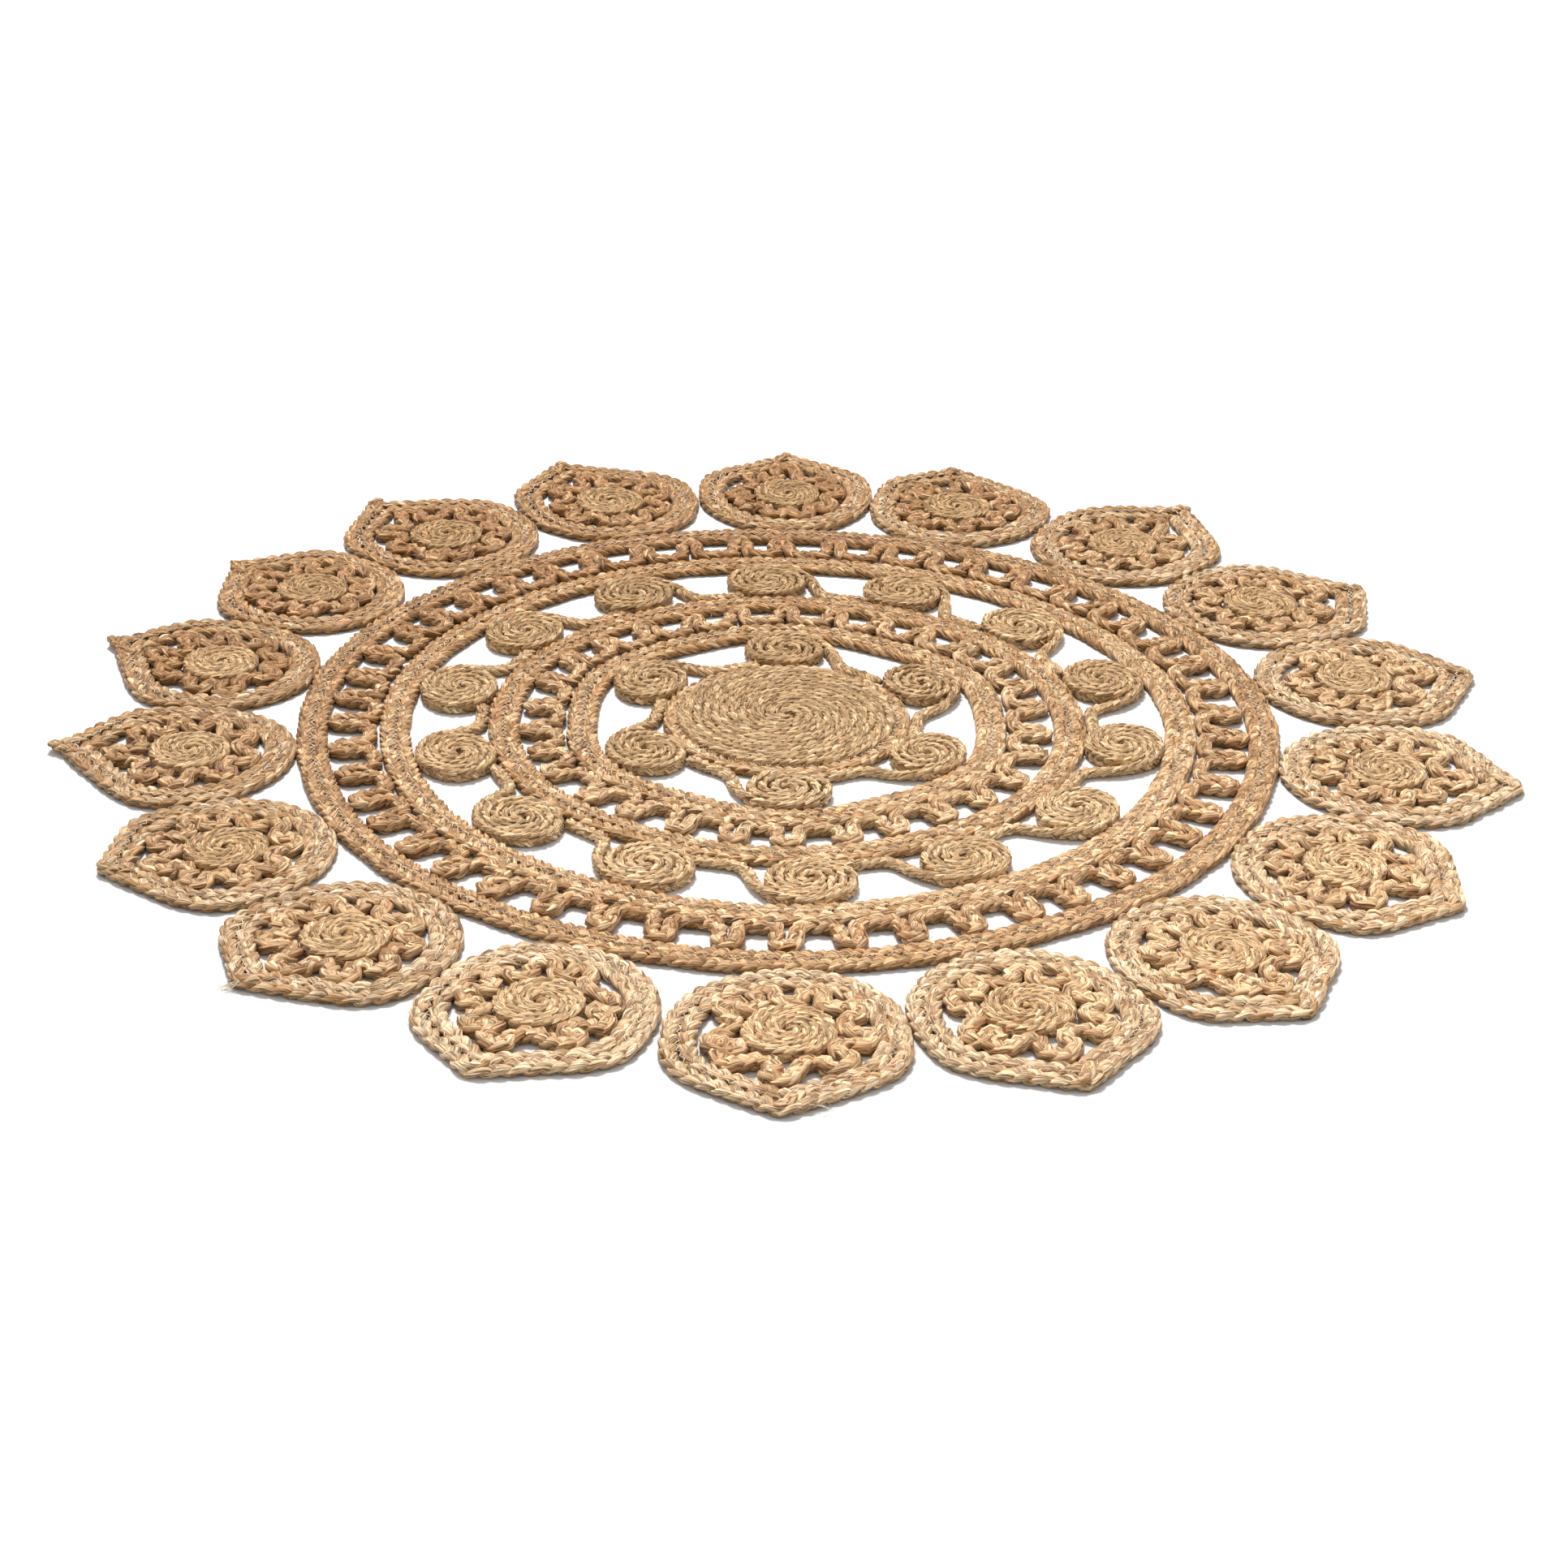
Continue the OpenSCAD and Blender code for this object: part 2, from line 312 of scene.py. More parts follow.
def bundle(share, length, rng):
    """Relief of a strand: bundles of fibre that wind slowly round it. Also the winding's angle."""
    count = len(share)
    theta = np.arange(SIDES) * 2 * np.pi / SIDES
    spin = 2 * np.pi * round(length / TWIST) * share
    slow = [max(1, int(length / 0.05)), max(2, int(length / 0.023)), max(3, int(length / 0.012))]
    relief = np.zeros((count, SIDES))
    for lobes, size in LOBES:
        wander = wave(share, rng, slow, 0.9) + rng.random() * 6
        swell = 1 + wave(share, rng, slow, 0.5)
        relief += size * np.cos(lobes * (theta[None, :] - spin[:, None]) + wander[:, None]) * swell[:, None]
    return relief + rng.normal(size=(count, SIDES)) * ROUGH, spin


def rings_along(centre, up, half_wide, half_tall, closed, relief, boxy=0.74):
    """Points of a strand: a rounded section at each point of centre, half_wide to its sides and
    half_tall towards up. boxy below 1 squares it. Also the height component of the section's
    outward direction."""
    count, sides = relief.shape
    if closed:
        ahead = np.roll(centre, -1, axis=0) - np.roll(centre, 1, axis=0)
    else:
        ahead = np.gradient(centre, axis=0)
    ahead = unit(ahead)
    side = unit(np.cross(up, ahead))
    lift = np.cross(ahead, side)
    theta = np.arange(sides) * 2 * np.pi / sides
    c = np.sign(np.cos(theta)) * np.abs(np.cos(theta)) ** boxy
    s = np.sign(np.sin(theta)) * np.abs(np.sin(theta)) ** boxy
    a = np.broadcast_to(half_wide, (count,))[:, None] * (1 + relief)
    b = np.broadcast_to(half_tall, (count,))[:, None] * (1 + relief)
    out = side[:, None, :] * (a * c)[:, :, None] + lift[:, None, :] * (b * s)[:, :, None]
    facing = side[:, None, 2] * np.cos(theta) + lift[:, None, 2] * np.sin(theta)
    return centre[:, None, :] + out, facing


def skin(ring, closed, offset, girth, spin, brightness, warmth):
    """Faces, fibre UVs and tones for the rings of one strand. The UVs are metres along the strand
    and round it, so that the fibres wind with the strand's relief."""
    count, sides = ring.shape[:2]
    rows = np.arange(count if closed else count - 1)
    after = (rows + 1) % count
    j = np.arange(sides)
    k = (j + 1) % sides
    corners = [rows[:, None] * sides + j, after[:, None] * sides + j,
               after[:, None] * sides + k, rows[:, None] * sides + k]
    quads = np.stack(corners, axis=-1).reshape(-1, 4)
    reach = travelled(ring.mean(axis=1))
    turn = np.concatenate([spin, spin[-1:]]) / (2 * np.pi) * girth
    u0, u1 = reach[rows] + offset, reach[rows + 1] + offset
    v0, v1 = j / sides * girth, (j + 1) / sides * girth
    uv = np.empty((len(rows), sides, 4, 2))
    uv[..., 0, 0], uv[..., 3, 0] = u0[:, None], u0[:, None]
    uv[..., 1, 0], uv[..., 2, 0] = u1[:, None], u1[:, None]
    near, far = turn[rows][:, None], turn[rows + 1][:, None]
    uv[..., 0, 1], uv[..., 1, 1] = v0 - near, v0 - far
    uv[..., 2, 1], uv[..., 3, 1] = v1 - far, v1 - near
    caps = []
    if not closed:
        caps = [list(range(sides)), list(range((count - 1) * sides, count * sides))[::-1]]
    tones = np.stack([brightness.ravel(), np.broadcast_to(warmth, brightness.shape).ravel()], axis=1)
    return {"verts": ring.reshape(-1, 3), "quads": quads, "uv": uv.reshape(-1, 2), "caps": caps,
            "tones": tones}


def painted_light_and_tone(points):
    """The rug is paler at its front right, and darker and browner at its back left, partly in the straw's
    own tone and partly as painted light and shade.
    Returns the brightness and what to add to the warmth. back runs from about -1 to about 1 across the rug."""
    back = np.clip((points[:, 1] - 0.5 * points[:, 0]) / 0.64, -1.1, 1.1)
    return 1.02 - 0.14 * back + 0.07 * back**2, -0.20 - 0.36 * back - 0.19 * back**2


def braid(route, closed, wide, tall, pitch, seed, roll=0.0, tone=1.0, warm=0.0,
          uneven=1.0, end_taper=0.3, base=0.0, crevice_shade=1.0, flat=BRAID_FLAT):
    """Three strands plaited along a route in plan. wide lies across the route and tall stands up
    where roll is 0; at roll 90 the braid is on edge. roll may be a number or run with the route.
    base is the height it lies at, end_taper how thick its open ends stay, and tone and warm its
    brightness and warmth beside other braids. slow and quick are counts of waves along it."""
    rng = seeded(seed)
    points, where, length = resampled(route, closed, STEP)
    share = where / length
    count = len(points)
    rolls = np.atleast_1d(roll)
    roll = np.radians(np.interp(share, np.linspace(0, 1, len(rolls)), rolls))
    cycles = length / (3 * pitch)
    if closed:
        cycles = max(1, round(cycles))
    slow = [max(1, int(length / 0.16)), max(2, int(length / 0.09)), max(3, int(length / 0.05))]
    quick = [max(2, int(length / 0.045)), max(3, int(length / 0.022)), max(4, int(length / 0.013))]
    _, left = along_route(points, closed)
    points = points + left * wave(share, rng, slow, WANDER * uneven)[:, None]
    size = 1 + wave(share, rng, slow, SIZE_CHANGE * uneven)
    fade = np.ones(count)
    if not closed:
        fade = end_taper + (1 - end_taper) * ramp(np.minimum(where, length - where), 0, 0.008)
    height = np.sqrt((wide * np.sin(roll)) ** 2 + (tall * np.cos(roll)) ** 2)
    half_side = np.sqrt((wide * np.cos(roll)) ** 2 + (tall * np.sin(roll)) ** 2) / 2
    middle = height / 2 + base
    # pale is painted light and the straw's own tone together: brighter at the front right, darker at the
    # back left
    pale, browner = painted_light_and_tone(points)
    parts = []
    for k in range(3):
        phase = 2 * np.pi * (cycles * share + k / 3) + wave(share, rng, slow, PACE_CHANGE * uneven)
        thick = 1 + rng.normal() * THICK_SPREAD + wave(share, rng, quick, THICK_CHANGE * uneven)
        thick = size * thick
        half_wide = STRAND_WIDE * wide * thick * fade
        half_tall = STRAND_TALL * tall * thick * fade
        across = STRAND_SWING * wide * np.sin(phase) * (0.5 + 0.5 * fade)
        over = STRAND_SWING * tall * np.sin(2 * phase) * (0.5 + 0.5 * fade)
        sideways = across * np.cos(roll) - over * np.sin(roll)
        upward = across * np.sin(roll) + over * np.cos(roll)
        centre = np.column_stack([points + left * sideways[:, None], middle + upward])
        up = np.column_stack([-left * np.sin(roll)[:, None], np.cos(roll)])
        relief, spin = bundle(share, length, rng)
        ring, facing = rings_along(centre, up, half_wide, half_tall, closed, relief)

        # Press the braid between its neighbours, and flat above and below
        aside = np.einsum("ijk,ik->ij", ring[..., :2] - points[:, None, :], left)
        held = pressed(aside, HELD_ASIDE * half_side[:, None])
        ring[..., :2] += left[:, None, :] * (held - aside)[..., None]
        ring[..., 2] = middle[:, None] + pressed(ring[..., 2] - middle[:, None], flat * height[:, None])

        # Painted shade: darker low in the crevices, on the flanks that face down and in the grooves between
        # bundles of fibre, with painted light on the bundles' ridges
        rise = (ring[..., 2] - base) / height[:, None]
        painted_shade = LOW_PAINTED_LIGHT + (1 - LOW_PAINTED_LIGHT) * ramp(rise, 0.20, 0.85)
        painted_shade = painted_shade * (FLANK_PAINTED_LIGHT + (1 - FLANK_PAINTED_LIGHT) * ramp(facing, -0.25, 0.45))
        painted_shade = 1 - crevice_shade * (1 - painted_shade)
        painted_shade = painted_shade * (1 + 1.2 * relief)
        own = tone * (1 + rng.normal() * TONE_SPREAD) * (1 + wave(share, rng, quick, TONE_CHANGE))
        hue = warm + browner + rng.normal() * WARM_SPREAD + wave(share, rng, quick, WARM_CHANGE)
        girth = 2 * math.pi * STRAND_WIDE * (wide + tall) / 2
        parts.append(skin(ring, closed, rng.random() * 40, girth, spin,
                          painted_shade * (own * pale)[:, None], hue[:, None]))
    return parts


def thread(points, diameter, closed, seed, tone, taper=False):
    """A thin round thread through 3-D points, or a fibre that tapers to its far end."""
    count = len(points)
    up = np.tile([0.013, 0.02, 1.0], (count, 1))
    radius = np.full(count, diameter / 2)
    if taper:
        radius = radius * np.linspace(1, 0.25, count)
    sides = 3 if taper else 5
    ring, _ = rings_along(points, up, radius, radius, closed, np.zeros((count, sides)), boxy=1.0)
    return skin(ring, closed, seeded(seed).random() * 40, diameter * math.pi, np.zeros(count),
                np.full((count, sides), tone), np.zeros((count, sides)))


def stray_fibres(route, closed, wide, height, seed):
    """Short fibres that have worked loose along a braid, on average one every 35 mm."""
    spacing = 0.035
    rng = seeded(seed)
    points, _, length = resampled(route, closed, 0.004)
    _, left = along_route(points, closed)
    parts = []
    for n in range(int(length / spacing)):
        at = rng.integers(2, len(points) - 2)
        side = rng.choice([-1.0, 1.0]) * left[at]
        angle = rng.normal() * 0.7
        out = np.array([side[0] * math.cos(angle) - side[1] * math.sin(angle),
                        side[0] * math.sin(angle) + side[1] * math.cos(angle)])
        reach = rng.uniform(0.004, 0.012)
        t = np.linspace(0, 1, 5)
        bend = rng.normal() * 0.5 * reach
        flat = points[at] + 0.42 * wide * side + out * (t * reach)[:, None]
        flat = flat + np.array([-out[1], out[0]]) * (t**2 * bend)[:, None]
        rise = height * rng.uniform(0.35, 0.9) + t * rng.uniform(-0.2, 0.5) * reach
        parts.append(thread(np.column_stack([flat, np.maximum(rise, 0.0006)]), FIBRE_D, False,
                            seed + n, tone=1.25, taper=True))
    return parts


def tuft(x, y, heading, seed):
    """A fan of pale fibres that has come loose from a braid, headed at an angle in degrees."""
    count, reach, spread = 18, 0.026, 17
    rng = seeded(seed)
    parts = []
    for n in range(count):
        way = math.radians(heading + rng.normal() * spread)
        out = np.array([math.cos(way), math.sin(way)])
        t = np.linspace(0, 1, 7)
        far = reach * rng.uniform(0.45, 1.0)
        bend = rng.normal() * 0.22 * far
        start = np.array([x, y]) + rng.normal(size=2) * 0.0035
        flat = start + out * (t * far)[:, None] + np.array([-out[1], out[0]]) * (t**2 * bend)[:, None]
        rise = 0.0085 * (1 - t) ** 1.5 + 0.0008 + 0.002 * rng.random() * np.sin(t * 3)
        parts.append(thread(np.column_stack([flat, rise]), LOOSE_D, False, seed + n, tone=1.3,
                            taper=True))
    return parts


# ---- routes ----


def circle_route(radius):
    """Clockwise from +Y, with a point every half degree."""
    return polar(radius, 90 - np.arange(0, 360, 0.5))


def oval(radius, degrees, wider):
    """Points at a radius, moved out along X so that a disc of them is oval."""
    points = polar(radius, degrees)
    points[:, 0] += wider * np.cos(np.radians(degrees))
    return points


def spiral_route(width, turns, last, wider):
    """Clockwise from the eye outward, ending at angle last."""
    a = np.append(np.arange(18, 360 * turns, 4.0), 360 * turns)
    open_out = wider * ramp(a, 90, 360 * turns)
    return oval(width * (a / 360 + 0.5), last + 360 * turns - a, open_out)


def disc_route(radius, width, last=0.0):
    """A spiral whose last turn closes in, so that the disc is round."""
    turns = (radius - SEAM) / width
    a = np.arange(16, 360 * (turns - 0.12), 4.0)
    r = np.minimum(width * (a / 360 + 0.5), radius - width * 0.42)
    return polar(r, last + 360 * turns - a)


def bezier(a, b, c, d, count):
    """Points along a cubic curve from a to d."""
    t = np.linspace(0, 1, count)[:, None]
    return (1 - t) ** 3 * a + 3 * (1 - t) ** 2 * t * b + 3 * (1 - t) * t * t * c + t**3 * d


def scroll_route(base, gap, count, wider):
    """A disc at the top whose last turn leaves it and runs clockwise down to the ring at base.
    Returns the route and the number of its points that make the disc."""
    disc_out = 1 - (90 - TAIL_FROM) / 360
    disc_in = disc_out - 0.5
    turns = ((gap - 2 * SEAM) / COIL_W - disc_out - disc_in) / 2
    middle = np.array([0, base + SEAM + COIL_W * (turns + disc_in)])
    r = COIL_W * (turns + 0.5)
    disc = spiral_route(SCROLL_W, r / SCROLL_W - 0.5, TAIL_FROM, wider) + middle
    start = disc[-1]
    angle = math.radians(TAIL_FROM)
    growth = SCROLL_W / (2 * math.pi)
    heading = unit(np.array([(r + wider) * math.sin(angle) + growth * math.cos(angle),
                             growth * math.sin(angle) - r * math.cos(angle)]))
    low = base + SEAM + TAIL_W / 2
    land = 90 - TAIL_LANDS * 360 / count
    stop = 90 - TAIL_ENDS * 360 / count
    goal = polar(low, land)
    span = np.linalg.norm(goal - start)
    leave = start + span * LEAVE_REACH * heading
    curve = bezier(start, leave, goal + polar(span * LAND_REACH, land + 90), goal, 24)
    run = polar(low, np.linspace(land, stop, 12))
    route = np.vstack([disc, curve[1:], run[1:]])
    return route, len(disc)


def point_out(radius, away):
    """How far a row round a petal stands out past its round part, away degrees from its point."""
    start = math.degrees(math.acos(PETAL_R / PETAL_TIP))
    return radius / np.cos(np.radians(np.maximum(start - np.abs(away), 0))) - radius


def loop_route(inner, depth, count, width, seed, swing, pointed=0, fan=1.0):
    """Out along a leg, a tight turn at the outer side, in along the next leg, and a wide arch.
    swing is how uneven the loops are, and fan spreads the legs at the outer side. Where pointed
    is 1 the loops fill a petal's point."""
    rng = seeded(seed)
    middle = inner + depth / 2
    period = 2 * math.pi * middle / count
    reach = (depth - width) / 2
    tight = width * (LOOP_TURN + np.abs(rng.normal(size=count + 1)) * 0.05 * swing)
    tight[-1] = tight[0]
    shift = rng.normal(size=count + 1) * swing * 0.0019
    shift[-1] = shift[0]
    points = []
    for k in range(count):
        tilt = rng.normal() * swing * 0.0026
        out = reach + LOOP_PRESS + rng.normal() * swing * 0.0010
        low = -reach + rng.normal() * swing * 0.0007
        turn = tight[k] * fan
        corner = min(ARCH_MOST, period / 2 - (tight[k] + tight[k + 1]) / 2 - 0.0002)
        corner = max(ARCH_LEAST, corner)
        for a in range(180, -1, -15):
            x = turn * math.cos(math.radians(a))
            y = out - tight[k] + tight[k] * math.sin(math.radians(a))
            points.append((k, x + shift[k] + tilt, y))
        for a in range(180, 271, 15):
            x = tight[k] + corner + corner * math.cos(math.radians(a))
            points.append((k, x + shift[k], low + corner + corner * math.sin(math.radians(a))))
        for a in range(270, 361, 15):
            x = period - tight[k + 1] - corner + corner * math.cos(math.radians(a)) + shift[k + 1]
            points.append((k, x, low + corner + corner * math.sin(math.radians(a))))
    points = np.array(points)
    away = points[:, 0] * 360 / count + np.degrees(points[:, 1] / middle)
    near = (away + 180) % 360 - 180
    out = pointed * point_out(inner + depth, near) * np.clip(points[:, 2] / depth + 0.5, 0, 1)
    route = polar(middle + points[:, 2] + out, 90 - away)
    route, _, _ = resampled(route, True, 0.0015)
    return softened(route, True, 8)


def petal_outline(inset):
    """Round, with a point at +Y, centred on the petal's round part."""
    r = PETAL_R - inset
    tip = PETAL_TIP * r / PETAL_R
    start = math.degrees(math.acos(r / tip))
    ring = polar(r, 90 - np.linspace(start, 360 - start, 120))
    route, _, _ = resampled(np.vstack([[[0, tip]], ring]), True, 0.0015)
    return softened(route, True, 12)


def petal_placed(points, i):
    """From a petal's own frame to the rug's, with its wide shoulders and its tip's lean."""
    points = points.copy()
    lean = TIP_LEAN[i - 1] / 1000
    reach = TIP_REACH[i - 1] / 1000
    share = np.clip(points[:, 1] / PETAL_TIP, 0, 1)
    rng = seeded(500 + i)
    waist = 0.985 + 0.015 * ramp(points[:, 1], -0.02, 0.02)
    shoulders = 0.13 * ramp(points[:, 1], 0, 0.07)
    points[:, 0] *= waist + shoulders
    points[:, 0] += lean * share**2.2
    points[:, 1] += reach * share**2.0
    # Each petal is a little out of round
    angle = np.arctan2(points[:, 1], points[:, 0])
    swell = 1 + rng.normal() * 0.010 * np.sin(2 * angle + rng.random() * 6)
    points = points * (1 + (swell - 1) * (1 - share))[:, None]
    points[:, 1] += PETAL_AT
    return settled(turned(points, -(i - 1) * 360 / PETALS))


# ---- materials ----

# What the streaks multiply the colour by, from dim gaps between fibres to their bright tops: partly the
# fibres' own tone, partly painted shade in the gaps and painted highlights on the tops
STREAK_TONES_AND_PAINTED_LIGHT = [(0.37, (0.26, 0.20, 0.15)), (0.45, (0.82, 0.80, 0.77)),
           (0.54, (1.10, 1.10, 1.10)), (0.65, (1.72, 1.74, 1.74))]
BUMP_DEPTH = 0.0012


def jute_material(name, pale, mid, deep, rough=0.55, streak=1.0, sheen=0.1):
    """Fibres that run along each strand, with tone that drifts along it and fine ridges. streak is how
    strongly the streaks, with their painted shade and highlights, show.
    The mesh's tones give the brightness in X, painted shade and light included, and the warmth in Y."""
    material = bpy.data.materials.new(name)
    material.use_nodes = True
    tree = material.node_tree
    nodes, links = tree.nodes, tree.links
    shader = nodes["Principled BSDF"]
    shader.inputs["Roughness"].default_value = rough
    shader.inputs["Specular IOR Level"].default_value = 0.28
    shader.inputs["Sheen Weight"].default_value = sheen
    shader.inputs["Sheen Roughness"].default_value = 0.45

    fibre = nodes.new("ShaderNodeUVMap")
    fibre.uv_map = "fibre"
    tones = nodes.new("ShaderNodeAttribute")
    tones.attribute_name = "tones"
    split = nodes.new("ShaderNodeSeparateXYZ")
    links.new(tones.outputs["Vector"], split.inputs["Vector"])

    def noise(along, around, detail, roughness=0.55):
        place = nodes.new("ShaderNodeMapping")
        place.inputs["Scale"].default_value = (along, around, 1)
        place.inputs["Rotation"].default_value = (0, 0, math.radians(2.0))
        texture = nodes.new("ShaderNodeTexNoise")
        texture.inputs["Scale"].default_value = 1.0
        texture.inputs["Detail"].default_value = detail
        texture.inputs["Roughness"].default_value = roughness
        links.new(fibre.outputs["UV"], place.inputs["Vector"])
        links.new(place.outputs["Vector"], texture.inputs["Vector"])
        return texture.outputs["Fac"]

    def maths(kind, a, b):
        node = nodes.new("ShaderNodeMath")
        node.operation = kind
        for socket, value in zip(node.inputs, (a, b)):
            if isinstance(value, (int, float)):
                socket.default_value = value
            else:
                links.new(value, socket)
        return node.outputs[0]

    def colours(fac, stops):
        node = nodes.new("ShaderNodeValToRGB")
        elements = node.color_ramp.elements
        while len(elements) < len(stops):
            elements.new(0.5)
        for element, (at, colour) in zip(elements, stops):
            element.position = at
            element.color = (*colour, 1)
        links.new(fac, node.inputs["Fac"])
        return node.outputs["Color"]

    # Slow drift between bundles of fibre, streaks a fibre bundle wide, and single fibres. Each
    # noise has its scale along the strand and round it, in waves a metre
    drift = maths("ADD", noise(16, 60, 2), maths("MULTIPLY", split.outputs["Y"], 0.30))
    streaks = noise(46, 400, 3, 0.66)
    fine = noise(75, 760, 2, 0.6)
    body = colours(drift, [(0.30, deep), (0.50, mid), (0.68, pale)])
    light = colours(streaks, STREAK_TONES_AND_PAINTED_LIGHT)
    mixed = nodes.new("ShaderNodeMix")
    mixed.data_type = "RGBA"
    mixed.blend_type = "MULTIPLY"
    mixed.inputs["Factor"].default_value = streak
    # Sockets 6 and 7 and output 2 of a Mix node are its colours
    links.new(body, mixed.inputs[6])
    links.new(light, mixed.inputs[7])
    scaled = nodes.new("ShaderNodeVectorMath")
    scaled.operation = "SCALE"
    links.new(mixed.outputs[2], scaled.inputs[0])
    level = maths("MULTIPLY", split.outputs["X"], maths("ADD", maths("MULTIPLY", fine, 3.2), -0.60))
    links.new(level, scaled.inputs["Scale"])
    # Painted light: where the painted shade dims the colour, it is made fuller as well, as light that comes
    # out of crevices has met more straw
    fuller = nodes.new("ShaderNodeHueSaturation")
    shade = nodes.new("ShaderNodeMath")
    shade.operation = "MULTIPLY_ADD"
    shade.inputs[1].default_value = -0.40
    shade.inputs[2].default_value = 1.40
    links.new(maths("MINIMUM", level, 1.0), shade.inputs[0])
    links.new(shade.outputs[0], fuller.inputs["Saturation"])
    links.new(scaled.outputs["Vector"], fuller.inputs["Color"])
    links.new(fuller.outputs["Color"], shader.inputs["Base Color"])

    bump = nodes.new("ShaderNodeBump")
    bump.inputs["Strength"].default_value = 1.0
    bump.inputs["Distance"].default_value = BUMP_DEPTH
    links.new(maths("ADD", maths("MULTIPLY", streaks, 0.7), maths("MULTIPLY", fine, 0.35)),
              bump.inputs["Height"])
    links.new(bump.outputs["Normal"], shader.inputs["Normal"])
    return material


FLAT = jute_material("jute_flat", (0.74, 0.53, 0.32), (0.62, 0.40, 0.215), (0.44, 0.235, 0.100))
BROWN = jute_material("jute_brown", (0.60, 0.38, 0.20), (0.485, 0.280, 0.133), (0.35, 0.18, 0.075))
PETAL = jute_material("jute_petal", (0.75, 0.55, 0.35), (0.63, 0.430, 0.250), (0.46, 0.255, 0.112),
                      rough=0.5, streak=0.95, sheen=0.15)
COIL = jute_material("jute_coil", (0.74, 0.54, 0.32), (0.62, 0.41, 0.22), (0.45, 0.27, 0.125))
LOOP = jute_material("jute_loop", (0.79, 0.55, 0.32), (0.63, 0.40, 0.215), (0.42, 0.22, 0.095))
THREAD = jute_material("seam_thread", (0.86, 0.76, 0.60), (0.80, 0.68, 0.50), (0.66, 0.52, 0.34),
                       streak=0.45)


# ---- pieces ----


def add_piece(name, parts, material, slot, *nodes):
    """One mesh from a list of strands. It rides on the rug and stands for the CAD nodes."""
    verts, loops, starts, totals, uv, tones = [], [], [], [], [], []
    base, at = 0, 0
    for part in parts:
        quads = part["quads"] + base
        loops.append(quads.ravel())
        starts.append(at + 4 * np.arange(len(quads)))
        totals.append(np.full(len(quads), 4))
        uv.append(part["uv"])
        at += 4 * len(quads)
        for cap in part["caps"]:
            loops.append(np.array(cap) + base)
            starts.append([at])
            totals.append([len(cap)])
            uv.append(np.zeros((len(cap), 2)) + part["uv"][0])
            at += len(cap)
        verts.append(part["verts"])
        tones.append(part["tones"])
        base += len(part["verts"])
    verts, loops = np.vstack(verts), np.concatenate(loops)
    starts, totals = np.concatenate(starts), np.concatenate(totals)
    mesh = bpy.data.meshes.new(name)
    mesh.vertices.add(len(verts))
    mesh.vertices.foreach_set("co", verts.ravel())
    mesh.loops.add(len(loops))
    mesh.loops.foreach_set("vertex_index", loops.astype(np.int32))
    mesh.polygons.add(len(starts))
    mesh.polygons.foreach_set("loop_start", starts.astype(np.int32))
    mesh.polygons.foreach_set("loop_total", totals.astype(np.int32))
    mesh.polygons.foreach_set("use_smooth", np.ones(len(starts), dtype=bool))
    mesh.update(calc_edges=True)
    layer = mesh.uv_layers.new(name="fibre")
    layer.data.foreach_set("uv", np.vstack(uv).ravel())
    field = mesh.attributes.new("tones", "FLOAT_VECTOR", "POINT")
    tones = np.vstack(tones)
    field.data.foreach_set("vector", np.column_stack([tones, np.zeros(len(tones))]).ravel())
    mesh.validate()
    mesh.materials.append(material)
    piece = bpy.data.objects.new(name, mesh)
    bpy.context.scene.collection.objects.link(piece)
    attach(piece, "root")
    if nodes:
        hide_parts(*nodes)


def make_centre():
    """The centre's coil and the flat row round it."""
    route = settled(disc_route(CENTRE_R, COIL_W))
    parts = braid(route, False, COIL_H * TALL_COIL, COIL_W * FULL_COIL, COIL_PITCH, 1, roll=90,
                  end_taper=COIL_END, tone=0.96, crevice_shade=COIL_CREVICE_SHADE, flat=COIL_FLAT)
    parts += stray_fibres(route, False, COIL_W, COIL_H, 3001)
    add_piece("centre_coil_braid", parts, COIL, "jute_coil", "centre_coil")
    route = settled(circle_route(CENTRE_R + ROW_W / 2))
    parts = braid(route, True, ROW_W * FULL_WIDE, ROW_H, ROW_PITCH, 2)
    add_piece("centre_wrap_braid", parts, FLAT, "jute_flat", "centre_wrap")


def make_scroll(name, base, gap, count, i, phase, wider, seed):
    """One of count scrolls in the gap outside the radius base. It lies on edge, and its tail rolls
    over nearly flat."""
    route, disc_points = scroll_route(base, gap, count, wider)
    route = settled(turned(route, phase - (i - 1) * 360 / count))
    lengths = np.concatenate([[0], np.cumsum(np.hypot(*np.diff(route, axis=0).T))])
    disc_end = lengths[disc_points - 1] / lengths[-1]
    share = np.linspace(0, 1, 60)
    roll = 90 - 80 * ramp(share, disc_end - 0.02, disc_end + 0.07)
    parts = braid(route, False, COIL_H * TALL_COIL, SCROLL_W * FULL_COIL, COIL_PITCH, seed, roll=roll,
                  end_taper=COIL_END, crevice_shade=SCROLL_CREVICE_SHADE, flat=COIL_FLAT)
    parts += stray_fibres(route, False, COIL_W, COIL_H * 0.8, 3100 + 40 * seed)
    add_piece(name + "_braid", parts, COIL, "jute_coil", name)


def make_scrolls():
    for i in range(1, INNER_SCROLLS + 1):
        make_scroll(f"inner_scroll_{i:02d}", WRAP_R, INNER_R - WRAP_R, INNER_SCROLLS, i,
                    phase=0, wider=INNER_OVAL, seed=20 + i)
    for i in range(1, OUTER_SCROLLS + 1):
        make_scroll(f"outer_scroll_{i:02d}", BETWEEN_R, OUTER_R - BETWEEN_R, OUTER_SCROLLS, i,
                    phase=OUTER_PHASE, wider=OUTER_OVAL, seed=40 + i)


